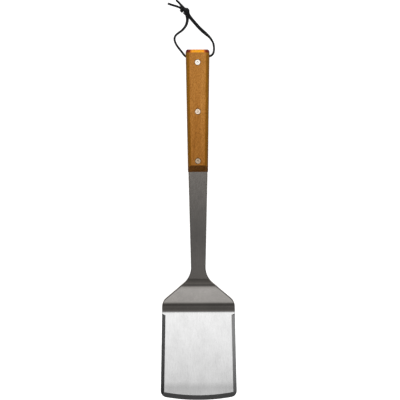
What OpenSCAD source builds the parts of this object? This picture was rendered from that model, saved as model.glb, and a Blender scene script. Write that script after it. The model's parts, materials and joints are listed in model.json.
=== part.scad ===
// Grill turner: a bent stainless steel plate with a full-width tang, riveted
// into a one-piece wooden grip with a moulded butt cap and a leather lace.
//
// The tool is drawn with its blade flat: Y runs from the blade's front edge (0)
// to the butt, Z is up from the blade's underside. at_rest() then lays it on
// the table, where it stands on the heel of the blade and on the butt cap.

/* [Overall] */
// Length from the blade's front edge to the butt
tool_length = 457.5; // [445:0.5:470]
// Thickness of the steel sheet
sheet = 2; // [1.6:0.1:2.4]

/* [Blade] */
// Length of the flat blade, up to the lower bend
blade_length = 114.5; // [100:0.5:120]
// Width across the blade's front, measured to the side lines
blade_front_width = 100.2; // [90:0.1:110]
// Narrowing of the blade's width for each mm towards the handle
blade_taper = 0.038; // [0.02:0.001:0.05]
// Radius of the bowed front edge
front_radius = 250; // [180:5:300]
// Radius of the blade's two front corners
corner_radius = 8.5; // [6:0.5:10]
// Width of the ground bevel along each side
side_bevel_width = 4.7; // [3:0.1:6]
// Width of the ground bevel along the front edge
front_bevel_width = 6.4; // [4:0.1:7]
// Thickness left at the bevelled edges
edge_thickness = 0.8; // [0.6:0.1:1.2]
// Distance from the lower bend at which the side bevels run out
bevel_runout = 1.5; // [1:0.5:4]

/* [Neck and shaft] */
// Angle of the neck's rise from the blade
neck_angle = 40; // [36:1:42]
// Length of the neck's straight slope
neck_slope = 26.6; // [24:0.1:30]
// Radius of the lower bend, from blade to neck, at the sheet's middle
heel_radius = 21; // [17:1:22]
// Radius of the upper bend, from neck to shaft, at the sheet's middle
neck_radius = 17; // [14:1:20]
// Angle of the flared sides from the tool's axis
flare_angle = 50.2; // [48:0.1:53]
// Distance from the front edge to the flare's point at 60% of the half width
flare_position = 143.2; // [141:0.1:145]
// Radius of the hollow curve from shaft to flare
flare_inner_radius = 25.5; // [20:0.5:32]
// Radius of the round shoulder from flare to blade
flare_outer_radius = 14; // [10:1:25]
// Shaft width where it meets the flare
shaft_low_width = 19.1; // [17:0.1:21]
// Shaft width where it enters the grip
shaft_top_width = 25.3; // [24:0.1:25.6]

/* [Grip] */
// Length of the grip with its butt cap
grip_length = 160; // [150:1:165]
// Width at the butt
grip_butt_width = 31.3; // [30:0.1:34]
// Width at the front end
grip_front_width = 26.2; // [26:0.1:28]
// Thickness of the grip
grip_thickness = 18; // [16:0.5:20]
// Rounding radius of the grip's long edges
grip_edge_radius = 5.5; // [4:0.5:6.5]
// Length of the 45 degree slopes at the grip's front end
front_slope = 8; // [6:0.5:8]
// Length of the moulded butt cap
cap_length = 4.5; // [4:0.1:5]
// Rounding radius of the cap's end
cap_radius = 4; // [3:0.1:4]

/* [Rivets] */
// Distance from the butt to the first rivet
first_rivet = 17.4; // [16:0.1:20]
// Distance between rivets
rivet_pitch = 64.5; // [55:0.5:65]
// Diameter of the rivet heads
rivet_head = 7.4; // [6.5:0.1:8]
// Diameter of the rivet bodies
rivet_body = 4; // [3.6:0.1:4.4]

/* [Lace] */
// Distance from the butt to the cross bore for the lace
lace_bore_position = 8.4; // [8:0.1:9.5]
// Diameter of the cross bore
lace_bore = 4.2; // [4:0.1:4.4]
// Diameter of a round cord as heavy as the flat lace
lace_diameter = 3.2; // [2.8:0.1:3.2]

/* [Hidden] */
$fn = 96;
reach = 80;                       // half size of cutters that pass right through
eps = 0.01;                       // overrun of a cutter past the face it opens

// Side profile: heights of the bent sheet
heel_outer = heel_radius + sheet / 2;
heel_inner = heel_radius - sheet / 2;
neck_outer = neck_radius + sheet / 2;
neck_inner = neck_radius - sheet / 2;
slope_start = [
    blade_length + heel_radius * sin(neck_angle),
    sheet / 2 + heel_radius * (1 - cos(neck_angle))
];
slope_end = slope_start + neck_slope * [cos(neck_angle), sin(neck_angle)];
heel_centre = [blade_length, heel_outer];
neck_centre = slope_end + neck_radius * [sin(neck_angle), -cos(neck_angle)];
shaft_start = neck_centre.x;
shaft_middle = neck_centre.y + neck_radius;
shaft_bottom = shaft_middle - sheet / 2;

// Plan outline: half widths of the sheet along Y
side_slope = blade_taper / 2;
function blade_half(y) = blade_front_width / 2 - side_slope * y;
grip_start = tool_length - grip_length;
flare_slope = tan(flare_angle);
flare_x = 0.6 * blade_front_width / 2 + 1.3;
shaft_slope = (shaft_top_width - shaft_low_width) / 2 / (grip_start - shaft_start - 15);
function shaft_half(y) = shaft_top_width / 2 - shaft_slope * (grip_start - y);
// Corner where the flare's line meets the shaft's edge, and where it meets the blade's
inner_corner_y = (flare_x + flare_slope * flare_position - shaft_half(0))
    / (flare_slope + shaft_slope);
outer_corner_y = (flare_x + flare_slope * flare_position - blade_front_width / 2)
    / (flare_slope - side_slope);
inner_corner = [shaft_half(inner_corner_y), inner_corner_y];
outer_corner = [blade_half(outer_corner_y), outer_corner_y];
flare_direction = [sin(flare_angle), -cos(flare_angle)];
flare_normal = [cos(flare_angle), sin(flare_angle)];
shaft_angle = atan(shaft_slope);
side_angle = atan(side_slope);
// Both corners are rounded by arcs tangent to their lines
inner_tangent = flare_inner_radius * tan((flare_angle + shaft_angle) / 2);
outer_tangent = flare_outer_radius * tan((flare_angle - side_angle) / 2);
hollow_centre = inner_corner + inner_tangent * flare_direction
    + flare_inner_radius * flare_normal;
shoulder_centre = outer_corner - outer_tangent * flare_direction
    - flare_outer_radius * flare_normal;
arc_steps = 12;

// Round front corners: centre at corner_radius from the side line and the front arc
corner_reach = blade_front_width / 2 - corner_radius * sqrt(1 + side_slope * side_slope);
corner_ring = front_radius - corner_radius;
corner_b = corner_reach * side_slope + front_radius;
corner_c = corner_reach * corner_reach + front_radius * front_radius
    - corner_ring * corner_ring;
corner_a = 1 + side_slope * side_slope;
corner_y = (corner_b - sqrt(corner_b * corner_b - corner_a * corner_c)) / corner_a;
corner_centre = [corner_reach - side_slope * corner_y, corner_y];
corner_angle = atan2(corner_centre.y - front_radius, corner_centre.x);

// Grip
grip_bottom = shaft_middle - grip_thickness / 2;
grip_taper = (grip_butt_width - grip_front_width) / 2 / grip_length;
grip_taper_angle = atan(grip_taper);
cap_start = tool_length - cap_length;
tang_end = tool_length - 12.2;    // the tang stops short of the cross bore
slot_end = tool_length - 12;
tang_inset = (grip_front_width - shaft_top_width) / 2;
function grip_half(y) = grip_front_width / 2 + grip_taper * (y - grip_start);
peg_radius = 1.4;                 // moulded pegs hold the cap, above and below the bore
peg_length = 7;
peg_x = 7;
peg_z = 5.2;

// Rivets
head_thickness = 1.3;
head_recess = 1.4;                // the heads sit just below the wood's faces
recess_gap = 0.45;                // dark ring round each head
head_edge = 0.35;                 // rounding of the head's rim, cut as a cone
dimple_radius = 1.3;
dimple_depth = 0.35;
post_radius = 1.2;                // the post's thin end, driven into the cap's tube
bore_clearance = 0.04;
rivet_reach = grip_thickness / 2 - head_recess;
function rivet_y(i) = tool_length - first_rivet - (i - 1) * rivet_pitch;

// Resting pose: one line under the heel's arc and under the cap's lower corner
heel_to_cap = [tool_length - cap_radius, grip_bottom + cap_radius] - heel_centre;
rest_tilt = atan2(heel_to_cap.y, heel_to_cap.x)
    + asin((heel_outer - cap_radius) / norm(heel_to_cap));
rest_lift = heel_outer + blade_length * sin(rest_tilt) - heel_outer * cos(rest_tilt);
rest_length = (tool_length - cap_radius) * cos(rest_tilt)
    + (grip_bottom + grip_thickness - cap_radius) * sin(rest_tilt) + cap_radius;

// The lace's route on the table, from the middle of the cross bore into the knot
left_strand = [
    [0, 220.6, 9.2], [-8, 220.6, 9.2], [-14.6, 220.6, 9.2], [-16.1, 221, 9.2],
    [-17.4, 222.1, 9.1], [-18.7, 223.8, 8.7], [-20.9, 226.8, 7.7], [-24.1, 231, 6.1],
    [-27.2, 235.4, 4.5], [-29.4, 240, 3.3], [-30.2, 244.4, 2.7], [-28.8, 248.4, 2.4],
    [-25.1, 251.8, 2.3], [-20.9, 254.8, 2.3], [-17.2, 258.6, 2.3], [-14.4, 263.4, 2.3],
    [-13.3, 268.6, 2], [-13.5, 272.8, 1.9], [-14.6, 277.8, 2.3]
];
right_strand = [
    [0, 220.6, 9.2], [8, 220.6, 9.2], [14.6, 220.6, 9.2], [16.4, 221, 9.2],
    [18.6, 222, 9.1], [20.3, 224.2, 8.6], [21.3, 227.4, 7.6], [21.5, 231, 6.3],
    [21.3, 234.8, 5.1], [20.4, 238.6, 4], [18.3, 242.8, 3], [15.4, 246.6, 2.5],
    [11.3, 250.4, 2.2], [6.5, 254.6, 1.9], [1.5, 259.6, 1.7], [-3.3, 265, 1.8],
    [-7.3, 269.6, 2.8], [-10.1, 273, 4.2], [-11.8, 275.8, 5.2], [-13.6, 279, 6.1]
];
left_tail = [
    [-19.8, 283.6, 2.6], [-23.6, 285.4, 2.6], [-27.4, 286.9, 2.5], [-31, 288, 2.3],
    [-35, 289.3, 2.3], [-38.8, 290.6, 2.3]
];
right_tail = [
    [-18.2, 283.8, 6.4], [-20.6, 287.2, 5.2], [-22.6, 289.8, 3.4], [-24.7, 292.2, 2.5],
    [-26.8, 294.3, 2.2]
];
lace_sides = 8;
knot_centre = [-16.5, 281.4, 4.2];
knot_heading = 46;                // turned from the Y axis towards -X
knot_radius = 4.1;
knot_length = 10.6;
knot_round = 2;

// Lays the tool on the table and moves the middle of its footprint to the origin
module at_rest() {
    translate([0, -rest_length / 2, rest_lift])
        rotate([-rest_tilt, 0, 0])
            children();
}

// Extrudes a side profile, drawn as (y, z), across the tool
module across(width) {
    translate([-width / 2, 0, 0])
        rotate([90, 0, 90])
            linear_extrude(width) children();
}

module both_sides() {
    children();
    mirror([1, 0, 0]) children();
}

// Points along an arc, ends included
function arc(centre, r, from, to, steps = arc_steps) = [
    for (i = [0:steps])
        let (turn = from + (to - from) * i / steps)
            centre + r * [cos(turn), sin(turn)]
];

// The sheet seen from the side, as (y, z)
module plate_profile() {
    polygon(concat(
        [[0, 0]],
        arc(heel_centre, heel_outer, -90, neck_angle - 90),
        arc(neck_centre, neck_inner, neck_angle + 90, 90),
        [[tang_end, shaft_bottom], [tang_end, shaft_bottom + sheet]],
        arc(neck_centre, neck_outer, 90, neck_angle + 90),
        arc(heel_centre, heel_inner, neck_angle - 90, -90),
        [[0, sheet]]
    ));
}

// The sheet seen from above: tang, shaft, flare, blade and bowed front
module plate_outline() {
    right_half = concat(
        [
            [grip_half(tang_end) - tang_inset, tang_end],
            [shaft_top_width / 2, grip_start]
        ],
        arc(hollow_centre, flare_inner_radius, 180 - shaft_angle, 180 + flare_angle),
        arc(shoulder_centre, flare_outer_radius, flare_angle, side_angle),
        arc(corner_centre, corner_radius, side_angle, corner_angle),
        arc([0, front_radius], front_radius, corner_angle, -90)
    );
    left_half = [
        for (i = [len(right_half) - 2:-1:0])
            [-right_half[i].x, right_half[i].y]
    ];
    polygon(concat(right_half, left_half));
}

// Removes the metal above the ground bevel along one side of the blade
module side_bevel_cutter() {
    drop = sheet - edge_thickness;
    over = corner_radius;
    length = blade_length - bevel_runout;
    translate([blade_half(0), 0, 0])
        rotate([0, 0, side_angle])
            translate([0, length, 0])
                rotate([90, 0, 0])
                    linear_extrude(length + reach)
                        polygon([
                            [-side_bevel_width, sheet],
                            [over, sheet - drop * (1 + over / side_bevel_width)],
                            [over, 2 * sheet],
                            [-side_bevel_width, 2 * sheet]
                        ]);
}

// Removes the metal above the ground bevel along the bowed front edge
module front_bevel_cutter() {
    drop = sheet - edge_thickness;
    over = corner_radius;
    translate([0, front_radius, 0])
        rotate_extrude($fn = 360)
            polygon([
                [front_radius - front_bevel_width, sheet],
                [front_radius + over, sheet - drop * (1 + over / front_bevel_width)],
                [front_radius + over, 2 * sheet],
                [front_radius - front_bevel_width, 2 * sheet]
            ]);
}

module turner_plate() {
    color([0.72, 0.72, 0.71])
        at_rest()
            difference() {
                intersection() {
                    across(2 * reach) plate_profile();
                    linear_extrude(2 * reach) plate_outline();
                }
                both_sides() side_bevel_cutter();
                front_bevel_cutter();
                for (i = [1:3])
                    translate([0, rivet_y(i), shaft_middle])
                        cylinder(r = rivet_body / 2 + bore_clearance, h = 2 * sheet, center = true);
            }
}

// Bar with two rounded edges along its right side, parallel to the grip's right edge
module grip_side_bar() {
    half_thick = grip_thickness / 2;
    r = grip_edge_radius;
    translate([grip_half(grip_start), grip_start, shaft_middle])
        rotate([0, 0, -grip_taper_angle])
            translate([0, grip_length + reach, 0])
                rotate([90, 0, 0])
                    linear_extrude(grip_length + 2 * reach)
                        union() {
                            translate([-reach, -half_thick])
                                square([reach - r, grip_thickness]);
                            translate([-reach, -half_thick + r])
                                square([reach, grip_thickness - 2 * r]);
                            for (side = [-1, 1])
                                translate([-r, side * (half_thick - r)])
                                    circle(r);
                        }
}

// The grip's outer form with no ends
module grip_form() {
    intersection() {
        grip_side_bar();
        mirror([1, 0, 0]) grip_side_bar();
    }
}

// Side profile of the wood, with both front slopes
module wood_profile() {
    half_thick = grip_thickness / 2;
    translate([0, shaft_middle])
        polygon([
            [cap_start, -half_thick],
            [cap_start, half_thick],
            [grip_start + front_slope, half_thick],
            [grip_start, half_thick - front_slope],
            [grip_start, front_slope - half_thick],
            [grip_start + front_slope, -half_thick]
        ]);
}

// Places something on the cap's four pegs
module at_pegs() {
    for (side_x = [-1, 1])
        for (side_z = [-1, 1])
            translate([side_x * peg_x, cap_start, shaft_middle + side_z * peg_z])
                rotate([90, 0, 0])
                    children();
}

// Holes of one rivet: body bore and a recess for each head
module rivet_bore() {
    cylinder(r = rivet_body / 2 + bore_clearance, h = 2 * grip_thickness, center = true);
    for (up = [0, 1])
        mirror([0, 0, up])
            translate([0, 0, rivet_reach])
                cylinder(r = rivet_head / 2 + recess_gap, h = grip_thickness);
}

module wood_grip() {
    color([0.69, 0.45, 0.22])
        at_rest()
            difference() {
                intersection() {
                    grip_form();
                    across(2 * reach) wood_profile();
                }
                // saw slot for the tang
                translate([-reach, grip_start - eps, shaft_bottom])
                    cube([2 * reach, slot_end - grip_start + eps, sheet]);
                // cross bore for the lace
                translate([0, tool_length - lace_bore_position, shaft_middle])
                    rotate([0, 90, 0])
                        cylinder(d = lace_bore, h = 2 * reach, center = true);
                for (i = [1:3])
                    translate([0, rivet_y(i), shaft_middle]) rivet_bore();
                at_pegs()
                    translate([0, 0, -eps])
                        cylinder(r = peg_radius + bore_clearance, h = peg_length + 2 * bore_clearance);
            }
}

// Outline with both end corners rounded, used for the cap's plan and side profile
module rounded_end(half, r) {
    translate([-half, cap_start])
        square([2 * half, cap_length - r]);
    translate([-half + r, cap_start])
        square([2 * half - 2 * r, cap_length]);
    for (side = [-1, 1])
        translate([side * (half - r), tool_length - r])
            circle(r);
}

module butt_cap() {
    color([0.94, 0.62, 0.14])
        at_rest() {
            intersection() {
                grip_form();
                translate([0, 0, grip_bottom - reach])
                    linear_extrude(2 * reach)
                        rounded_end(grip_butt_width / 2, cap_radius);
                across(2 * reach)
                    translate([0, shaft_middle])
                        rotate(-90)
                            mirror([1, 0]) rounded_end(grip_thickness / 2, cap_radius);
                translate([-reach, cap_start, 0])
                    cube([2 * reach, 2 * cap_length, reach]);
            }
            at_pegs() cylinder(r = peg_radius, h = peg_length);
        }
}

// Head of a rivet on the Z axis, its seat at z = 0, with a dimple in its face
module rivet_head_disc() {
    rim = rivet_head / 2;
    rotate_extrude()
        polygon([
            [0, 0],
            [rim, 0],
            [rim, head_thickness - head_edge],
            [rim - head_edge, head_thickness],
            [dimple_radius, head_thickness],
            [0.6 * dimple_radius, head_thickness - dimple_depth],
            [0, head_thickness - dimple_depth]
        ]);
}

// Upper half of a rivet: head, body, and the thin post
module rivet_post(i) {
    color([0.86, 0.84, 0.8])
        at_rest()
            translate([0, rivet_y(i), shaft_middle]) {
                translate([0, 0, rivet_reach]) rivet_head_disc();
                cylinder(d = rivet_body, h = rivet_reach);
                translate([0, 0, 1 - rivet_reach])
                    cylinder(r = post_radius - bore_clearance, h = rivet_reach);
            }
}

// Lower half of a rivet: head and the tube that takes the post
module rivet_cap(i) {
    color([0.86, 0.84, 0.8])
        at_rest()
            translate([0, rivet_y(i), shaft_middle])
                mirror([0, 0, 1])
                    difference() {
                        union() {
                            translate([0, 0, rivet_reach]) rivet_head_disc();
                            cylinder(d = rivet_body, h = rivet_reach);
                        }
                        translate([0, 0, -eps])
                            cylinder(r = post_radius, h = rivet_reach - 0.8 + eps);
                    }
}

// Round tube swept along a route, one ring at each point
function unit(v) = v / norm(v);
function heading(route, i) = unit(
    route[min(i + 1, len(route) - 1)] - route[max(i - 1, 0)]
);
function ring(route, i, r) =
    let (along = heading(route, i))
    let (side = unit(cross(along, [0, 0, 1])))
    let (up = cross(side, along))
    [
        for (k = [0:lace_sides - 1])
            let (turn = (k + 0.5) * 360 / lace_sides)
                route[i] + r * (cos(turn) * side + sin(turn) * up)
    ];

module swept_tube(route, r) {
    n = lace_sides;
    last = len(route) - 1;
    points = [for (i = [0:last]) each ring(route, i, r)];
    start_face = [[for (k = [0:n - 1]) k]];
    end_face = [[for (k = [n - 1:-1:0]) last * n + k]];
    walls = [
        for (i = [0:last - 1])
            for (k = [0:n - 1])
                let (next = (k + 1) % n)
                    each [
                        [i * n + k, (i + 1) * n + k, (i + 1) * n + next],
                        [i * n + k, (i + 1) * n + next, i * n + next]
                    ]
    ];
    polyhedron(points = points, faces = concat(start_face, walls, end_face));
}

// Half the lace: from the middle of the cross bore into the knot, and its tail
module lace_left() {
    color([0.06, 0.06, 0.06]) {
        swept_tube(left_strand, lace_diameter / 2);
        swept_tube(left_tail, lace_diameter / 2);
    }
}

module lace_right() {
    color([0.06, 0.06, 0.06]) {
        swept_tube(right_strand, lace_diameter / 2);
        swept_tube(right_tail, lace_diameter / 2);
    }
}

// Outer form of the overhand knot that ties both strands
module lace_knot() {
    half = knot_length / 2;
    color([0.08, 0.08, 0.08])
        translate(knot_centre)
            rotate([-90, 0, knot_heading])
                rotate_extrude()
                    union() {
                        translate([0, -half])
                            square([knot_radius - knot_round, knot_length]);
                        translate([0, knot_round - half])
                            square([knot_radius, knot_length - 2 * knot_round]);
                        for (side = [-1, 1])
                            translate([knot_radius - knot_round, side * (half - knot_round)])
                                circle(knot_round);
                    }
}

turner_plate();
wood_grip();
butt_cap();
rivet_post(1);  // rivet_post_1
rivet_post(2);  // rivet_post_2
rivet_post(3);  // rivet_post_3
rivet_cap(1);  // rivet_cap_1
rivet_cap(2);  // rivet_cap_2
rivet_cap(3);  // rivet_cap_3
lace_left();
lace_right();
lace_knot();
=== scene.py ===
import json
import math

import bpy
import numpy as np
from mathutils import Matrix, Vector, geometry


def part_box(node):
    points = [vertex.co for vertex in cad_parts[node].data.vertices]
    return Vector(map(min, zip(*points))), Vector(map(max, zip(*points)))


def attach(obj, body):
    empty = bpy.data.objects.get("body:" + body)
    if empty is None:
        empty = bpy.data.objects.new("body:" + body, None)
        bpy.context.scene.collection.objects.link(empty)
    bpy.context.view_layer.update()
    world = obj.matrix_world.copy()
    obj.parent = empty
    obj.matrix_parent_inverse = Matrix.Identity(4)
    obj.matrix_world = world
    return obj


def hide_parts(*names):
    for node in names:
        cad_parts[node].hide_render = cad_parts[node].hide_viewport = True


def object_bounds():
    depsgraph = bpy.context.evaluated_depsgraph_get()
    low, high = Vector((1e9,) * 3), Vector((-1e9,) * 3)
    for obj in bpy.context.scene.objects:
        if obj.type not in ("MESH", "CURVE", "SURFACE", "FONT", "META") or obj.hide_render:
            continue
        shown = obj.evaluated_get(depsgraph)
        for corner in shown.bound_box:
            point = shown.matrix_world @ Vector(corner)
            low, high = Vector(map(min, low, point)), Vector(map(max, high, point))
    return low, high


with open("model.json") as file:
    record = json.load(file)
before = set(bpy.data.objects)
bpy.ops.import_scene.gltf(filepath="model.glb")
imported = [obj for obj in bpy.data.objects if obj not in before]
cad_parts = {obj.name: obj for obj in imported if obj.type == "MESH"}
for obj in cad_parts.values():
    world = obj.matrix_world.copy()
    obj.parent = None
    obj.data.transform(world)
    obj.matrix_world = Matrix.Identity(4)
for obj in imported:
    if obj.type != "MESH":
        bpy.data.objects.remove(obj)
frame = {"nodes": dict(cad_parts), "record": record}
cad_low, cad_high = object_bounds()
MM = 0.001

# ---------------------------------------------------------------- the tool's own frame
# The tool is described with its blade flat: y from the blade's front edge to the butt, z up
# from the blade's underside, in mm. on_table() lays those points down as the CAD does.
mounts = {m["name"]: m for m in frame["record"]["mounts"]}
down = mounts["blade_underside"]["axis"]
TILT = math.atan2(-down[1], -down[2])

TOOL_LENGTH = 457.5
SHEET = 2.0
BLADE_LENGTH = 114.5
BLADE_WIDTH = 100.2
SIDE_SLOPE = 0.019
FRONT_RADIUS = 250.0
CORNER_RADIUS = 8.5
SIDE_BEVEL = 4.7
FRONT_BEVEL = 6.4
# The front bevel is looked for only this near the front edge
BEVEL_LOOK = 60.0
EDGE_THICKNESS = 0.8
BEVEL_END = BLADE_LENGTH - 1.5
BEVEL_RUNOUT = 2.0
NECK_ANGLE = math.radians(40)
NECK_SLOPE = 26.6
HEEL_RADIUS = 21.0
NECK_RADIUS = 17.0
FLARE_ANGLE = math.radians(50.2)
FLARE_POINT = (31.36, 143.2)
HOLLOW_RADIUS = 25.5
SHOULDER_RADIUS = 14.0
SHAFT_TOP_HALF = 12.65
SHAFT_SLOPE = 0.02517
GRIP_LENGTH = 160.0
GRIP_START = TOOL_LENGTH - GRIP_LENGTH
TANG_END = TOOL_LENGTH - 12.2
TANG_END_HALF = 14.99
RIVET_AT = [TOOL_LENGTH - 17.4 - 64.5 * i for i in range(3)]

NECK_Y = BLADE_LENGTH + HEEL_RADIUS * math.sin(NECK_ANGLE)
BEND_Y = NECK_Y + NECK_SLOPE * math.cos(NECK_ANGLE)
SHAFT_Y = BEND_Y + NECK_RADIUS * math.sin(NECK_ANGLE)
HEEL_RISE = HEEL_RADIUS * (1 - math.cos(NECK_ANGLE))
BEND_RISE = NECK_RADIUS * (1 - math.cos(NECK_ANGLE))
SHAFT_Z = SHEET / 2 + HEEL_RISE + BEND_RISE + NECK_SLOPE * math.sin(NECK_ANGLE)

HEEL_OUTER = HEEL_RADIUS + SHEET / 2
LIFT = HEEL_OUTER * (1 - math.cos(TILT)) + BLADE_LENGTH * math.sin(TILT)
FRONT_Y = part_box("turner_plate")[0].y / MM


def on_table(x, y, z):
    """A point of the tool's own frame, in mm, as it lies on the table, in metres."""
    c, s = math.cos(TILT), math.sin(TILT)
    return Vector((x, FRONT_Y + y * c + z * s, LIFT - y * s + z * c)) * MM


def new_object(name, vertices, faces, body):
    """A smooth-shaded piece that rides on a body."""
    mesh = bpy.data.meshes.new(name)
    mesh.from_pydata([tuple(v) for v in vertices], [], faces)
    mesh.validate()
    mesh.polygons.foreach_set("use_smooth", [True] * len(mesh.polygons))
    piece = bpy.data.objects.new(name, mesh)
    bpy.context.scene.collection.objects.link(piece)
    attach(piece, body)
    return piece


# ---------------------------------------------------------------- camera
CAMERA_HEIGHT = 2.2
FRAME_HEIGHT = 0.5225
FRAME_CENTRE = (0.0025, 0.0327)
# The frame's height is measured at about the level of the tool's upper faces
FRAME_LEVEL = 0.012
CAMERA_ROLL = math.radians(-0.2)
SENSOR = 36.0


def make_camera():
    data = bpy.data.cameras.new("camera")
    data.sensor_width = SENSOR
    data.lens = SENSOR * (CAMERA_HEIGHT - FRAME_LEVEL) / FRAME_HEIGHT
    camera = bpy.data.objects.new("camera", data)
    camera.location = (*FRAME_CENTRE, CAMERA_HEIGHT)
    camera.rotation_euler = (0, 0, CAMERA_ROLL)
    bpy.context.scene.collection.objects.link(camera)
    bpy.context.scene.camera = camera


make_camera()

# ---------------------------------------------------------------- lace
# Routes in metres, as in the CAD source: from the middle of the cross bore to the knot.
# The roll beside each point is how far the flat lace stands on edge, in degrees.
LACE_WIDTH = 0.0044
LACE_THICKNESS = 0.0027
LACE_SOFT = 0.0009
LACE_STEP = 0.0007
# Inside the cross bore the lace is pinched narrower
BORE_END = 0.0155
BORE_SIDE = 0.222
BORE_SQUEEZE = 0.8
LEFT_STRAND = [
    (0, 0.2206, 0.0092, 90), (-0.008, 0.2206, 0.0092, 90), (-0.0146, 0.2206, 0.0092, 90),
    (-0.0161, 0.221, 0.0092, 90), (-0.0174, 0.2221, 0.0091, 90), (-0.0187, 0.2238, 0.0087, 90),
    (-0.0209, 0.2268, 0.0077, 90), (-0.0241, 0.231, 0.0061, 90), (-0.0272, 0.2354, 0.0045, 90),
    (-0.0294, 0.24, 0.0033, 90), (-0.0302, 0.2444, 0.0027, 90), (-0.0288, 0.2484, 0.0024, 90),
    (-0.0251, 0.2518, 0.0023, 88), (-0.0209, 0.2548, 0.0023, 86), (-0.0172, 0.2586, 0.0023, 78),
    (-0.0144, 0.2634, 0.0023, 68), (-0.0133, 0.2686, 0.002, 58), (-0.0135, 0.2728, 0.0019, 52),
    (-0.0146, 0.2778, 0.0023, 40),
]
RIGHT_STRAND = [
    (0, 0.2206, 0.0092, 90), (0.008, 0.2206, 0.0092, 90), (0.0146, 0.2206, 0.0092, 90),
    (0.0164, 0.221, 0.0092, 90), (0.0186, 0.222, 0.0091, 90), (0.0203, 0.2242, 0.0086, 90),
    (0.0213, 0.2274, 0.0076, 90), (0.0215, 0.231, 0.0063, 90), (0.0213, 0.2348, 0.0051, 90),
    (0.0204, 0.2386, 0.004, 88), (0.0183, 0.2428, 0.003, 80), (0.0154, 0.2466, 0.0025, 66),
    (0.0113, 0.2504, 0.0022, 42), (0.0065, 0.2546, 0.0019, 5), (0.0015, 0.2596, 0.0017, 0),
    (-0.0033, 0.265, 0.0018, 0), (-0.0073, 0.2696, 0.0028, 0), (-0.0101, 0.273, 0.0042, 0),
    (-0.0118, 0.2758, 0.0052, 0), (-0.0136, 0.279, 0.0061, 0),
]
LEFT_TAIL = [
    (-0.0198, 0.2836, 0.0026, 60), (-0.0236, 0.2854, 0.0026, 88), (-0.0274, 0.2869, 0.0025, 90),
    (-0.031, 0.288, 0.0023, 90), (-0.035, 0.2893, 0.0023, 90), (-0.0388, 0.2906, 0.0023, 90),
]
RIGHT_TAIL = [
    (-0.0182, 0.2838, 0.0064, 20), (-0.0206, 0.2872, 0.0052, 60), (-0.0226, 0.2898, 0.0034, 78),
    (-0.0247, 0.2922, 0.0025, 80), (-0.0268, 0.2943, 0.0022, 80),
]
# Turns inside the knot, in mm: along its axis from its entry, across it, and height
KNOT_ENTRY = Vector((-0.0131, 0.2782, 0.0))
KNOT_AXIS = Vector((-0.719, 0.695, 0.0))
KNOT_ACROSS = Vector((0.695, 0.719, 0.0))
KNOT_CORE = 4.1
LEFT_TURNS = [
    (1.2, -1.2, 3.1), (3.4, -1.0, 3.6), (5.2, -0.8, 4.4), (6.6, -1.0, 5.6), (7.2, -2.4, 6.2),
    (7.3, -3.8, 5.0), (7.3, -3.9, 3.0), (7.6, -2.6, 1.6), (8.2, -1.2, 1.6), (9.0, -0.7, 2.8),
    (10.2, -1.2, 3.2),
]
RIGHT_TURNS = [
    (-0.2, 0.6, 6.0), (1.4, 2.2, 6.4), (2.8, 3.3, 5.4), (3.4, 3.4, 3.6), (3.2, 2.2, 1.8),
    (2.6, 0.0, 1.4), (2.1, -2.0, 1.6), (1.8, -3.3, 3.2), (1.8, -3.1, 5.2), (2.3, -1.6, 6.8),
    (3.2, 0.2, 7.1), (4.8, 1.0, 6.7), (6.8, 0.6, 6.3), (9.0, 0.4, 5.8),
]


def smooth_line(points, step):
    """Points close together on a smooth curve through the given ones, of any number of values."""
    p = np.array(points, float)
    p = np.vstack([2 * p[0] - p[1], p, 2 * p[-1] - p[-2]])
    line = []
    for i in range(1, len(p) - 2):
        a, b, c, d = p[i - 1:i + 3]
        steps = max(2, int(np.linalg.norm((c - b)[:3]) / step))
        for t in np.arange(steps) / steps:
            line.append(0.5 * (2 * b + (c - a) * t + (2 * a - 5 * b + 4 * c - d) * t * t
                               + (3 * b - a - 3 * c + d) * t ** 3))
    line.append(p[-2])
    return np.array(line)


def lace_route(strand, turns, tail):
    """One half of the lace: each point with the direction that its wide face looks."""
    def looks(point, before, after):
        along = (Vector(after[:3]) - Vector(before[:3])).normalized()
        up = (Vector((0, 0, 1)) - along * along.z).normalized()
        side = along.cross(up)
        roll = math.radians(point[3])
        return up * math.cos(roll) + side * math.sin(roll)

    def free(points):
        rows = []
        for i, point in enumerate(points):
            before, after = points[max(i - 1, 0)], points[min(i + 1, len(points) - 1)]
            rows.append([*point[:3], *looks(point, before, after)])
        return rows

    knotted = []
    for along, across, height in turns:
        place = KNOT_ENTRY + (KNOT_AXIS * along + KNOT_ACROSS * across) * MM
        place.z = height * MM
        away = KNOT_ACROSS * across + Vector((0, 0, height - KNOT_CORE))
        knotted.append([*place, *away.normalized()])
    return free(strand[:-1]) + knotted + free(tail[1:])


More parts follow.
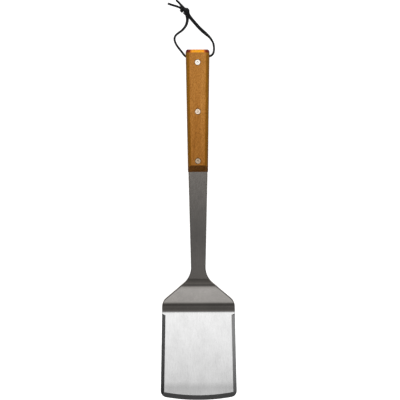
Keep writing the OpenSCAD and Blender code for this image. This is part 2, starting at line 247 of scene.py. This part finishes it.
def flat_lace(name, route, cut):
    """A flat lace swept along the route, with softened corners and a slanted cut at its end."""
    line = smooth_line(route, LACE_STEP)
    places, faces_up = line[:, :3], line[:, 3:]
    half_w, half_t, soft = LACE_WIDTH / 2, LACE_THICKNESS / 2, LACE_SOFT
    outline = []
    for sx, sy, start in ((1, 1, 0), (-1, 1, 90), (-1, -1, 180), (1, -1, 270)):
        for turn in (5, 45, 85):
            a = math.radians(start + turn)
            outline.append((sx * (half_w - soft) + soft * math.cos(a),
                            sy * (half_t - soft) + soft * math.sin(a)))
    n, last = len(outline), len(places) - 1
    vertices = []
    for i, place in enumerate(places):
        along = places[min(i + 1, last)] - places[max(i - 1, 0)]
        along /= np.linalg.norm(along)
        up = faces_up[i] - along * (along @ faces_up[i])
        up /= np.linalg.norm(up)
        side = np.cross(along, up)
        in_bore = abs(place[0]) < BORE_END and place[1] < BORE_SIDE
        squeeze = BORE_SQUEEZE if in_bore else 1.0
        for u, v in outline:
            u *= squeeze
            slant = along * cut * u if i == last else 0
            vertices.append(place + side * u + up * v + slant)
    faces = [tuple(range(n)), tuple(last * n + k for k in reversed(range(n)))]
    for i in range(last):
        for k in range(n):
            q = (k + 1) % n
            faces.append((i * n + k, (i + 1) * n + k, (i + 1) * n + q, i * n + q))
    return new_object(name, vertices, faces, "lace"), places


left_lace, left_line = flat_lace(
    "lace_left_half", lace_route(LEFT_STRAND, LEFT_TURNS, LEFT_TAIL), 0.2)
right_lace, right_line = flat_lace(
    "lace_right_half", lace_route(RIGHT_STRAND, RIGHT_TURNS, RIGHT_TAIL), -0.6)
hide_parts("lace_left", "lace_knot")
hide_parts("lace_right", "lace_knot")


# ---------------------------------------------------------------- steel plate
def arc(cx, cy, radius, start, end, steps):
    return [(cx + radius * math.cos(a), cy + radius * math.sin(a))
            for a in np.linspace(start, end, steps + 1)]


def blade_half(y):
    return BLADE_WIDTH / 2 - SIDE_SLOPE * y


def shaft_half(y):
    return SHAFT_TOP_HALF - SHAFT_SLOPE * (GRIP_START - y)


def plate_outline():
    """Right half of the plan outline, from the tang's end to the middle of the front edge."""
    t = math.tan(FLARE_ANGLE)
    at_axis = FLARE_POINT[0] + t * FLARE_POINT[1]
    inner_y = (at_axis - shaft_half(0)) / (t + SHAFT_SLOPE)
    outer_y = (at_axis - BLADE_WIDTH / 2) / (t - SIDE_SLOPE)
    along = np.array([math.sin(FLARE_ANGLE), -math.cos(FLARE_ANGLE)])
    out = np.array([math.cos(FLARE_ANGLE), math.sin(FLARE_ANGLE)])
    shaft_turn, side_turn = math.atan(SHAFT_SLOPE), math.atan(SIDE_SLOPE)
    inner = np.array([shaft_half(inner_y), inner_y])
    outer = np.array([blade_half(outer_y), outer_y])
    hollow = inner + HOLLOW_RADIUS * (math.tan((FLARE_ANGLE + shaft_turn) / 2) * along + out)
    shoulder = outer - SHOULDER_RADIUS * (math.tan((FLARE_ANGLE - side_turn) / 2) * along + out)
    a = 1 + SIDE_SLOPE ** 2
    reach = BLADE_WIDTH / 2 - CORNER_RADIUS * math.sqrt(a)
    ring = FRONT_RADIUS - CORNER_RADIUS
    b = reach * SIDE_SLOPE + FRONT_RADIUS
    corner_y = (b - math.sqrt(b * b - a * (reach ** 2 + FRONT_RADIUS ** 2 - ring ** 2))) / a
    corner = (reach - SIDE_SLOPE * corner_y, corner_y)
    corner_turn = math.atan2(corner[1] - FRONT_RADIUS, corner[0])
    return ([(TANG_END_HALF, TANG_END), (SHAFT_TOP_HALF, GRIP_START)]
            + arc(*hollow, HOLLOW_RADIUS, math.pi - shaft_turn, math.pi + FLARE_ANGLE, 20)
            + arc(*shoulder, SHOULDER_RADIUS, FLARE_ANGLE, side_turn, 18)
            + arc(*corner, CORNER_RADIUS, side_turn, corner_turn, 12)
            + arc(0, FRONT_RADIUS, FRONT_RADIUS, corner_turn, -math.pi / 2, 16)[1:])


def mirrored(right_half):
    return right_half + [(-x, y) for x, y in reversed(right_half[:-1])]


def normals_2d(loop):
    """Unit directions pointing out of a clockwise loop, one at each point."""
    p = np.array(loop)
    edge = np.roll(p, -1, 0) - p
    edge /= np.linalg.norm(edge, axis=1)[:, None]
    out = np.stack([-edge[:, 1], edge[:, 0]], 1)
    both = out + np.roll(out, 1, 0)
    scale = 2 / np.maximum((both ** 2).sum(1), 0.8)
    return both * scale[:, None]


def smoothstep(value, low, high):
    t = min(1.0, max(0.0, (value - low) / (high - low)))
    return t * t * (3 - 2 * t)


# Width and depth of the worn edge, on the blade and along the shaft
FINE_EDGE = (0.3, 0.22)
BROAD_EDGE = (1.25, 0.72)


def edge_round(y):
    """Width and depth of the worn edge: broad along the shaft and neck, fine on the blade."""
    t = smoothstep(y, BLADE_LENGTH - 4, BLADE_LENGTH + 10)
    return [fine + (broad - fine) * t for fine, broad in zip(FINE_EDGE, BROAD_EDGE)]


def bevel_depth(x, y):
    """Thickness of the sheet at a point of its plan, less where its edges are ground."""
    side = (blade_half(y) - abs(x)) / math.sqrt(1 + SIDE_SLOPE ** 2) / SIDE_BEVEL
    side += max(0.0, (y - BEVEL_END + BEVEL_RUNOUT) / BEVEL_RUNOUT)
    front = 1.0
    if y < BEVEL_LOOK:
        front = (FRONT_RADIUS - math.hypot(x, y - FRONT_RADIUS)) / FRONT_BEVEL
    return EDGE_THICKNESS + (SHEET - EDGE_THICKNESS) * min(1.0, side, front)


def sheet_point(x, y, depth):
    """A point of the bent sheet; y is where its middle lies, depth is from its underside."""
    if y < BLADE_LENGTH:
        turn, middle = 0.0, SHEET / 2
    elif y < NECK_Y:
        turn = math.asin((y - BLADE_LENGTH) / HEEL_RADIUS)
        middle = SHEET / 2 + HEEL_RADIUS * (1 - math.cos(turn))
    elif y < BEND_Y:
        turn = NECK_ANGLE
        middle = SHEET / 2 + HEEL_RISE + (y - NECK_Y) * math.tan(NECK_ANGLE)
    elif y < SHAFT_Y:
        turn = math.asin((SHAFT_Y - y) / NECK_RADIUS)
        middle = SHAFT_Z - NECK_RADIUS * (1 - math.cos(turn))
    else:
        turn, middle = 0.0, SHAFT_Z
    up = depth - SHEET / 2
    return on_table(x, y - up * math.sin(turn), middle + up * math.cos(turn))


def inside(points, loop):
    """Which points lie inside a closed loop."""
    p, q = np.array(loop), np.roll(np.array(loop), -1, 0)
    x, y = points[:, :1], points[:, 1:]
    crosses = (p[:, 1] > y) != (q[:, 1] > y)
    with np.errstate(divide="ignore", invalid="ignore"):
        at = p[:, 0] + (y - p[:, 1]) * (q[:, 0] - p[:, 0]) / (q[:, 1] - p[:, 1])
    return (crosses & (x < at)).sum(1) % 2 == 1


# Lines across the sheet run out to here on either side of its middle
PAST_EDGE = 60.0
# Between the bends and bevels, cross lines lie this far apart
LINE_STEP = 12.0


def plate_lines():
    """The lines that the sheet's surface is divided along: bends, bevels and even cross lines."""
    lines = []
    bends = [BLADE_LENGTH + HEEL_RADIUS * math.sin(a) for a in np.linspace(0, NECK_ANGLE, 15)]
    bends += [SHAFT_Y - NECK_RADIUS * math.sin(a) for a in np.linspace(0, NECK_ANGLE, 13)]
    even = [*np.arange(20, 112, LINE_STEP), *np.arange(168, TANG_END, LINE_STEP)]
    even += [NECK_Y + 7, NECK_Y + 14]
    for y in bends + even:
        lines.append([(-PAST_EDGE, y), (PAST_EDGE, y)])
    for x in (-24, -8, 8, 24):
        lines.append([(x, 8), (x, BLADE_LENGTH + 20)])
    inner_front = FRONT_RADIUS - FRONT_BEVEL
    k = SIDE_BEVEL * math.sqrt(1 + SIDE_SLOPE ** 2)
    meet_y = FRONT_RADIUS - math.sqrt(inner_front ** 2 - (blade_half(14) - k) ** 2)
    meet = (blade_half(meet_y) - k, meet_y)
    turn = math.atan2(meet[1] - FRONT_RADIUS, meet[0])
    front = arc(0, FRONT_RADIUS, inner_front, turn, -math.pi - turn, 32)
    lines.append(front)
    corner_y = FRONT_RADIUS - math.sqrt(FRONT_RADIUS ** 2 - blade_half(8) ** 2)
    for side in (-1, 1):
        lines.append([(side * front[0][0], front[0][1]), (side * blade_half(corner_y), corner_y)])
        lines.append([(side * front[0][0], front[0][1]),
                      (side * (blade_half(BEVEL_END) - k), BEVEL_END)])
        for y in (BEVEL_END, BEVEL_END - BEVEL_RUNOUT):
            lines.append([(side * (blade_half(y) - k), y), (side * PAST_EDGE, y)])
    return lines


# The sheet is drawn with rivet holes of this radius, which the rivets fill
RIVET_HOLE = 2.04
# The outline has points no farther apart than about this
OUTLINE_STEP = 6.0
# Rows round the worn edge: share of its width, then how far down it the row lies, as a share
# of its depth from the top or, if negative, from the underside
WORN_ROWS = [(0.4, 0.1), (0.75, 0.42), (1.0, 1.0), (1.0, -1.0), (0.75, -0.42), (0.4, -0.1)]
# Faces of the top that meet at more than this angle meet at a crisp line
CREASE = math.radians(7)
# Where the top is this far down, it is ground
GROUND_AWAY = 0.03


def around(ring):
    """Each item of a closed ring with the next."""
    return zip(ring, [*ring[1:], ring[0]])


def plan_loops():
    """The sheet's plan less its worn edge, and the rivet holes."""
    # fine steps along the long straight sides, so that the worn edge follows its width
    dense = []
    for p, q in around(mirrored(plate_outline())):
        steps = max(1, int(math.dist(p, q) / OUTLINE_STEP))
        dense += [(p[0] + (q[0] - p[0]) * j / steps, p[1] + (q[1] - p[1]) * j / steps)
                  for j in range(steps)]
    loop = []
    for (x, y), (out_x, out_y) in zip(dense, normals_2d(dense)):
        width, _ = edge_round(y)
        loop.append((x - out_x * width, y - out_y * width))
    holes = [arc(0, y, RIVET_HOLE, 0, 2 * math.pi, 24)[:-1] for y in RIVET_AT]
    return loop, holes


def plan_triangles(loop, holes):
    """Points and upward triangles that fill the plan between its loop and its holes."""
    points, edges = [], []
    for closed in [loop, *holes]:
        first = len(points)
        points += closed
        edges += around(range(first, len(points)))
    for line in plate_lines():
        first = len(points)
        points += line
        edges += [(i, i + 1) for i in range(first, len(points) - 1)]
    made = geometry.delaunay_2d_cdt([Vector(p) for p in points], edges, [], 0, 1e-5)
    flat, triangles = np.array([tuple(v) for v in made[0]]), np.array(made[2])
    middles = flat[triangles].mean(1)
    keep = inside(middles, loop)
    for hole in holes:
        keep &= ~inside(middles, hole)
    triangles = triangles[keep]
    area = np.cross(flat[triangles[:, 1]] - flat[triangles[:, 0]],
                    flat[triangles[:, 2]] - flat[triangles[:, 0]])
    triangles[area < 0] = triangles[area < 0][:, ::-1]
    used, triangles = np.unique(triangles, return_inverse=True)
    return flat[used], triangles.reshape(-1, 3)


def boundary_rings(triangles):
    """The rings of points where the triangles end: the plan's outline and its holes."""
    sides = {}
    for a, b, c in triangles:
        for side in ((a, b), (b, c), (c, a)):
            sides[side] = True
    following = {a: b for a, b in sides if (b, a) not in sides}
    rings = []
    while following:
        start, b = following.popitem()
        ring = [start]
        while b != start:
            ring.append(b)
            b = following.pop(b)
        rings.append(ring)
    return rings


def worn_edge(ring, flat, vertices):
    """Rows of points from the top round the worn edge to the underside."""
    place = flat[ring]
    rows = [ring]
    for share, fall in WORN_ROWS:
        rows.append(range(len(vertices), len(vertices) + len(ring)))
        for (x, y), (in_x, in_y) in zip(place, normals_2d(place)):
            width, depth = edge_round(y)
            level = -fall * depth
            if fall > 0:
                level += bevel_depth(x, y)
            vertices.append(sheet_point(x - in_x * width * share, y - in_y * width * share,
                                        level))
    rows.append([i + len(flat) for i in ring])
    return rows


def mark_sharp(mesh, flat, top_count, rims):
    """Crisp lines at the rims, at the bends' ends and where the top is ground."""
    tangent_lines = (BLADE_LENGTH, NECK_Y, BEND_Y, SHAFT_Y)
    on_line = [any(abs(y - line) < 1e-3 for line in tangent_lines) for y in flat[:, 1]] * 2
    normals = [face.normal.copy() for face in mesh.polygons]
    beside = {}
    for face in mesh.polygons:
        for key in face.edge_keys:
            beside.setdefault(key, []).append(face.index)
    for edge in mesh.edges:
        a, b = edge.vertices
        near = beside.get(tuple(sorted((a, b))), [])
        cross = max(a, b) < len(on_line) and on_line[a] and on_line[b]
        crease = (len(near) == 2 and max(near) < top_count
                  and normals[near[0]].angle(normals[near[1]], 0) > CREASE)
        edge.use_edge_sharp = frozenset((a, b)) in rims or cross or crease


def mark_ground(mesh, flat, top_count):
    """A face attribute that is 1 on the ground bevels, for the material."""
    ground = mesh.attributes.new("ground", "FLOAT", "FACE")
    for face in mesh.polygons[:top_count]:
        x, y = np.mean([flat[v] for v in face.vertices], axis=0)
        ground.data[face.index].value = float(bevel_depth(x, y) < SHEET - GROUND_AWAY)


def mark_grain(mesh):
    """UVs that run straight along the tool, for the brushed grain."""
    grain = mesh.uv_layers.new(name="grain")
    for corner in mesh.loops:
        v = mesh.vertices[corner.vertex_index].co
        grain.data[corner.index].uv = (v.x, v.y)


def make_plate():
    flat, triangles = plan_triangles(*plan_loops())
    n, top_count = len(flat), len(triangles)
    vertices = [sheet_point(x, y, bevel_depth(x, y)) for x, y in flat]
    vertices += [sheet_point(x, y, 0.0) for x, y in flat]
    faces = [tuple(t) for t in triangles] + [tuple(t[::-1] + n) for t in triangles]
    rims = set()
    for ring in boundary_rings(triangles):
        place = flat[ring]
        if np.ptp(place[:, 1]) < 3 * RIVET_HOLE:
            faces += [(a + n, b + n, b, a) for a, b in around(ring)]
            continue
        rows = worn_edge(ring, flat, vertices)
        for upper, lower in zip(rows, rows[1:]):
            faces += [(b, a, c, d) for (a, b), (c, d) in zip(around(upper), around(lower))]
        rims |= {frozenset(pair) for row in (rows[0], rows[-1]) for pair in around(row)}
    piece = new_object("turner_plate_steel", vertices, faces, "tool")
    mark_sharp(piece.data, flat, top_count, rims)
    mark_ground(piece.data, flat, top_count)
    mark_grain(piece.data)
    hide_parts("turner_plate")
    return piece


plate = make_plate()


# ---------------------------------------------------------------- materials
class Nodes:
    """Short names for building the node tree of a material or of the world."""

    def __init__(self, owner):
        owner.use_nodes = True
        self.owner = owner
        self.tree = owner.node_tree
        self.shader = self.tree.nodes.get("Principled BSDF")

    def add(self, kind, **settings):
        node = self.tree.nodes.new(kind)
        for key, value in settings.items():
            setattr(node, key, value)
        return node

    def link(self, a, b):
        self.tree.links.new(a, b)

    def put(self, node, values):
        for key, value in values.items():
            if isinstance(value, bpy.types.NodeSocket):
                self.link(value, node.inputs[key])
            else:
                node.inputs[key].default_value = value
        return node

    def math(self, operation, a, b=0.0, clamp=False):
        node = self.add("ShaderNodeMath", operation=operation, use_clamp=clamp)
        self.put(node, {0: a, 1: b})
        return node.outputs[0]

    def multiply(self, share, a, b):
        """The first colour times the second, as far as the share says."""
        return self.mix(share, a, b, "MULTIPLY")

    def place(self, scale=(1, 1, 1)):
        """Where a point lies on the piece, in metres, stretched by the scale."""
        coordinates = self.add("ShaderNodeTexCoord")
        mapping = self.add("ShaderNodeMapping")
        self.link(coordinates.outputs["Object"], mapping.inputs["Vector"])
        mapping.inputs["Scale"].default_value = scale
        return mapping.outputs["Vector"]

    def split(self, vector):
        """The X, Y and Z outputs of a vector, by name."""
        node = self.add("ShaderNodeSeparateXYZ")
        self.link(vector, node.inputs[0])
        return node.outputs

    def noise(self, scale, detail=3.0, rough=0.5, distortion=0.0):
        """Noise with a cell about 1 / scale metres long each way."""
        node = self.add("ShaderNodeTexNoise")
        self.put(node, {"Vector": self.place(scale), "Scale": 1.0, "Detail": detail,
                        "Roughness": rough, "Distortion": distortion})
        return node.outputs["Fac"]

    def ramp(self, value, stops):
        node = self.add("ShaderNodeValToRGB")
        elements = node.color_ramp.elements
        elements[1].position, elements[0].position = stops[-1][0], stops[0][0]
        for position, _ in stops[1:-1]:
            elements.new(position)
        for element, (_, colour) in zip(elements, stops):
            element.color = (*colour, 1)
        self.link(value, node.inputs["Fac"])
        return node.outputs["Color"]

    def mix(self, share, a, b, blend="MIX"):
        node = self.add("ShaderNodeMix", data_type="RGBA", blend_type=blend)
        self.put(node, {0: share, 6: a, 7: b})
        return node.outputs[2]

    def bump(self, height, strength, distance):
        node = self.add("ShaderNodeBump")
        self.put(node, {"Height": height, "Strength": strength, "Distance": distance})
        self.link(node.outputs["Normal"], self.shader.inputs["Normal"])


def grey(value):
    return (value, value, value)


def tinted(value, warmth):
    """A grey, turned warmer by a share of its blue and green."""
    return (value, value * (1 - 0.5 * warmth), value * (1 - warmth))


def steel_material():
    m = Nodes(bpy.data.materials.new("brushed_steel"))
    ground = m.add("ShaderNodeAttribute", attribute_name="ground").outputs["Fac"]
    streaks = m.noise((640, 120, 640), detail=4, rough=0.7)
    scuffs = m.noise((60, 35, 60), detail=4, rough=0.6)
    low, high = cad_low.y, cad_high.y
    along = m.math("DIVIDE", m.math("SUBTRACT", m.split(m.place())["Y"], low), high - low)

    def at(tool_y):
        return (on_table(0, tool_y, 1).y - low) / (high - low)

    # painted reflection and shade: the tone along the tool stands in for the surroundings the
    # steel mirrors, with a bright blade, a darker band near its tip, dark bands at the two bends,
    # a light slope between them, and a dark shaft that lightens towards the grip
    painted_reflection_tone = m.ramp(along, [
        (at(0), grey(0.88)), (at(12), grey(0.8)), (at(17), grey(0.74)), (at(20), grey(0.82)),
        (at(24), grey(0.93)), (at(BLADE_LENGTH), grey(0.95)),
        (at(BLADE_LENGTH + 2), tinted(0.42, 0.14)),
        (at(NECK_Y - 1.5), tinted(0.36, 0.14)), (at(NECK_Y + 0.5), tinted(0.76, 0.1)),
        (at(BEND_Y - 2), tinted(0.86, 0.09)), (at(BEND_Y + 2.5), tinted(0.56, 0.14)),
        (at(SHAFT_Y - 2.5), tinted(0.42, 0.16)),
        (at(SHAFT_Y - 0.8), tinted(0.28, 0.16)), (at(SHAFT_Y + 0.3), tinted(0.14, 0.14)),
        (at(SHAFT_Y + 12), tinted(0.17, 0.12)), (at(SHAFT_Y + 60), tinted(0.28, 0.11)),
        (at(SHAFT_Y + 95), tinted(0.4, 0.13)), (at(GRIP_START), tinted(0.45, 0.15)),
    ])
    streaked = m.multiply(0.36, painted_reflection_tone, m.ramp(streaks, [(0.3, grey(0.6)), (0.65, grey(1.0))]))
    scuffed = m.multiply(0.2, streaked, m.ramp(scuffs, [(0.35, grey(0.6)), (0.6, grey(1.0))]))
    # painted shade: the ground bevels are darker, most of all towards the front, standing in for
    # the dark surroundings they mirror
    painted_bevel_shade = m.ramp(along, [(at(0), grey(0.32)), (at(9), grey(0.34)), (at(13), grey(0.62)),
                          (at(36), grey(0.68)), (at(90), grey(1.0))])
    tangent = m.add("ShaderNodeTangent", direction_type="UV_MAP", uv_map="grain")
    m.put(m.shader, {
        "Metallic": 1.0,
        "Base Color": m.mix(ground, scuffed, m.multiply(1.0, scuffed, painted_bevel_shade)),
        "Roughness": m.ramp(streaks, [(0.2, grey(0.15)), (0.8, grey(0.19))]),
        "Anisotropic": m.ramp(ground, [(0.4, grey(0.98)), (0.6, grey(0.3))]),
        "Tangent": tangent.outputs[0],
    })
    return m.owner


# The grip's half width at its start and what it gains per metre, and how far in from its
# sides it is rounded
GRIP_HALF = 0.0131
GRIP_FLARE = 0.0159
GRIP_ROUNDING = 0.0055


def wood_material():
    m = Nodes(bpy.data.materials.new("oiled_wood"))
    fibres = m.noise((700, 22, 700), detail=5, rough=0.65)
    bands = m.noise((90, 5, 60), detail=3, rough=0.5, distortion=0.6)
    pores = m.noise((1000, 450, 1000), detail=2, rough=0.6)
    base = m.ramp(bands, [(0.3, (0.33, 0.128, 0.022)), (0.5, (0.4, 0.168, 0.034)),
                          (0.72, (0.46, 0.208, 0.046))])
    grained = m.multiply(0.3, base, m.ramp(fibres, [(0.3, (0.6, 0.5, 0.42)), (0.6, grey(1.0))]))
    pored = m.multiply(0.6, grained, m.ramp(pores, [(0.4, (0.5, 0.45, 0.3)), (0.58, grey(1.0))]))
    place = m.split(m.place())
    from_start = m.math("SUBTRACT", place["Y"], on_table(0, GRIP_START, SHAFT_Z).y)
    # painted shade: the rounded edges are darker, as if turned away from the light: 0 at the
    # sides, 1 on the flat faces
    half = m.math("ADD", m.math("MULTIPLY", from_start, GRIP_FLARE), GRIP_HALF)
    inward = m.math("SUBTRACT", half, m.math("ABSOLUTE", place["X"]))
    rounded = m.math("DIVIDE", inward, GRIP_ROUNDING, clamp=True)
    edge = m.ramp(rounded, [(0.0, (0.52, 0.52, 0.25)), (0.35, (0.54, 0.54, 0.12)),
                            (0.72, (0.62, 0.57, 0.18)), (0.84, (0.9, 0.86, 0.7)),
                            (0.94, grey(1.0))])
    along = m.math("DIVIDE", from_start, GRIP_LENGTH * MM, clamp=True)
    # darker towards the grip's front end
    worn = m.ramp(along, [(0.1, (0.77, 0.76, 0.7)), (0.5, (0.92, 0.92, 0.9)), (0.9, grey(0.96))])
    # the grain, darker towards the front, times the painted shade on the rounded sides
    grain_with_painted_side_shade = m.multiply(1.0, m.multiply(1.0, pored, worn), edge)
    # the end grain is darker, and painted shade darkens the sloped front end further, as it faces
    # away from the light
    normal = m.split(m.add("ShaderNodeNewGeometry").outputs["True Normal"])
    end = m.math("GREATER_THAN", m.math("ABSOLUTE", normal["Y"]), 0.45)
    rings = m.noise((500, 500, 500), detail=3)
    end_grain_and_shade = m.ramp(rings, [(0.3, (0.05, 0.018, 0.003)), (0.7, (0.1, 0.04, 0.007))])
    m.put(m.shader, {"Base Color": m.mix(end, grain_with_painted_side_shade, end_grain_and_shade), "Specular IOR Level": 0.1,
                     "Roughness": m.ramp(fibres, [(0.3, grey(0.7)), (0.7, grey(0.5))])})
    m.bump(fibres, 0.25, 0.0003)
    return m.owner


CAP_HALF = 0.0157


def cap_material():
    m = Nodes(bpy.data.materials.new("amber_cap"))
    side = m.math("DIVIDE", m.math("ABSOLUTE", m.split(m.place())["X"]), CAP_HALF)
    cloud = m.noise((180, 180, 180), detail=2)
    edge = m.math("ADD", side, m.math("MULTIPLY", m.math("SUBTRACT", cloud, 0.5), 0.08))
    # painted shade: the cap darkens from its bright amber middle to dark red-brown at its rounded
    # sides, standing in for the shade in its translucent corners
    colour = m.ramp(edge, [(0.0, (0.74, 0.31, 0.006)), (0.48, (0.76, 0.27, 0.006)),
                           (0.6, (0.42, 0.09, 0.003)), (0.7, (0.16, 0.014, 0.001)),
                           (0.88, (0.08, 0.004, 0.001))])
    m.put(m.shader, {"Base Color": colour, "Specular IOR Level": 0.2,
                     "Roughness": m.ramp(cloud, [(0.3, grey(0.2)), (0.7, grey(0.3))]),
                     "Coat Weight": 0.12, "Coat Roughness": 0.15,
                     "Subsurface Weight": 0.15, "Subsurface Scale": 0.003})
    m.bump(cloud, 0.05, 0.0003)
    return m.owner


def rivet_material():
    m = Nodes(bpy.data.materials.new("satin_rivet"))
    turned = m.noise((2500, 2500, 2500), detail=2)
    front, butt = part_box("rivet_cap_3")[0].y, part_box("rivet_cap_1")[1].y
    from_front = m.math("SUBTRACT", m.split(m.place())["Y"], front)
    along = m.math("DIVIDE", from_front, butt - front, clamp=True)
    # the rivet nearest the blade is the darkest
    front_rivet_darkening = m.ramp(along, [(0.1, (0.57, 0.44, 0.31)), (0.5, (0.9, 0.73, 0.57)),
                             (0.9, (0.98, 0.93, 0.84))])
    marks = m.ramp(turned, [(0.3, grey(0.8)), (0.6, grey(1.0))])
    m.put(m.shader, {"Metallic": 1.0, "Base Color": m.multiply(0.6, front_rivet_darkening, marks),
                     "Roughness": m.ramp(turned, [(0.3, grey(0.2)), (0.7, grey(0.28))])})
    m.bump(turned, 0.06, 0.0001)
    return m.owner


def leather_material():
    m = Nodes(bpy.data.materials.new("black_leather"))
    grain = m.noise((2200, 2200, 2200), detail=3, rough=0.6)
    wear = m.noise((300, 300, 300), detail=2)
    black = m.ramp(wear, [(0.35, (0.002, 0.002, 0.0025)), (0.75, (0.008, 0.008, 0.009))])
    m.put(m.shader, {"Base Color": black, "Specular IOR Level": 0.28,
                     "Roughness": m.ramp(grain, [(0.3, grey(0.45)), (0.7, grey(0.62))])})
    m.bump(grain, 0.4, 0.0002)
    return m.owner


def dress(piece, material):
    piece.data.materials.clear()
    piece.data.materials.append(material)


steel, wood, amber = steel_material(), wood_material(), cap_material()
rivet_metal, leather = rivet_material(), leather_material()
nodes = frame["nodes"]
dress(plate, steel)
dress(nodes["wood_grip"], wood)
dress(nodes["butt_cap"], amber)
for i in (1, 2, 3):
    dress(nodes[f"rivet_post_{i}"], rivet_metal)
    dress(nodes[f"rivet_cap_{i}"], rivet_metal)
for lace in (left_lace, right_lace):
    dress(lace, leather)


# ---------------------------------------------------------------- floor, light and surroundings
FLOOR_HALF = 12.0
# The floor lies just under the tool, so that the two share no plane
FLOOR_DROP = 0.0002


def make_floor():
    turns = ((-1, -1), (1, -1), (1, 1), (-1, 1))
    corners = [(x * FLOOR_HALF, y * FLOOR_HALF, 0) for x, y in turns]
    mesh = bpy.data.meshes.new("floor")
    mesh.from_pydata(corners, [], [(0, 1, 2, 3)])
    floor = bpy.data.objects.new("floor", mesh)
    bpy.context.scene.collection.objects.link(floor)
    floor.location.z = -FLOOR_DROP
    m = Nodes(bpy.data.materials.new("pale_floor"))
    speckle = m.noise((40, 40, 40), detail=2)
    m.put(m.shader, {"Base Color": m.ramp(speckle, [(0.3, grey(0.4)), (0.7, grey(0.42))]),
                     "Roughness": 0.9, "Specular IOR Level": 0.1,
                     "Emission Color": (1, 1, 1, 1), "Emission Strength": 0.8})
    mesh.materials.append(m.owner)


OVERHEAD_PLACE = (0, -0.2, 2.6)
OVERHEAD_SIZE = 1.6
OVERHEAD_POWER = 75


def make_overhead_light():
    """A broad lamp that aims at the tool's middle; the steel doesn't mirror it."""
    data = bpy.data.lights.new("overhead", "AREA")
    data.shape, data.size, data.energy = "SQUARE", OVERHEAD_SIZE, OVERHEAD_POWER
    light = bpy.data.objects.new("overhead", data)
    light.location = OVERHEAD_PLACE
    light.rotation_euler = (-Vector(OVERHEAD_PLACE)).to_track_quat("-Z", "Y").to_euler()
    light.visible_glossy = False
    bpy.context.scene.collection.objects.link(light)


# How bright the surroundings are by their lean from the zenith toward +Y, in degrees
LEAN_LIGHT = [
    (-90, 0.55), (-80, 0.52), (-75, 0.47), (-70, 0.24), (-63, 0.15), (-55, 0.15), (-47, 0.2),
    (-41, 0.29), (-35, 0.2), (-22, 0.21), (-14, 0.24), (-9, 0.27), (-5, 0.3), (-2, 0.42),
    (-0.5, 0.8), (1, 1.0), (2.9, 1.45), (3.8, 0.45), (5, 0.28), (6.5, 0.32), (7.6, 0.33),
    (9, 0.85), (10.7, 1.9), (14, 1.9), (20, 0.6), (35, 0.6), (55, 0.8), (90, 0.9),
]
# The same by how far they lie toward -X or +X, as a factor
SIDE_LIGHT = [
    (-1.0, 0.9), (-0.75, 0.6), (-0.56, 0.07), (-0.36, 0.08), (-0.2, 1.0), (0.2, 1.0),
    (0.36, 0.35), (0.55, 0.28), (0.75, 0.7), (1.0, 0.9),
]


def make_world():
    """Surroundings whose brightness is the lean's level times the side's factor."""
    world = bpy.data.worlds.new("studio")
    bpy.context.scene.world = world
    w = Nodes(world)
    toward = w.split(w.add("ShaderNodeTexCoord").outputs["Generated"])
    lean = w.math("ARCTAN2", toward["Y"], toward["Z"])
    half_turns = w.math("ADD", w.math("DIVIDE", lean, math.pi), 0.5, clamp=True)
    along = w.ramp(half_turns, [(angle / 180 + 0.5, grey(level)) for angle, level in LEAN_LIGHT])
    beside = w.math("ADD", w.math("MULTIPLY", toward["X"], 0.5), 0.5)
    across = w.ramp(beside, [(x / 2 + 0.5, grey(level)) for x, level in SIDE_LIGHT])
    w.put(w.tree.nodes["Background"], {"Color": w.multiply(1.0, along, across), "Strength": 1.0})


make_floor()
make_world()
make_overhead_light()
bpy.context.scene.view_settings.view_transform = "Standard"
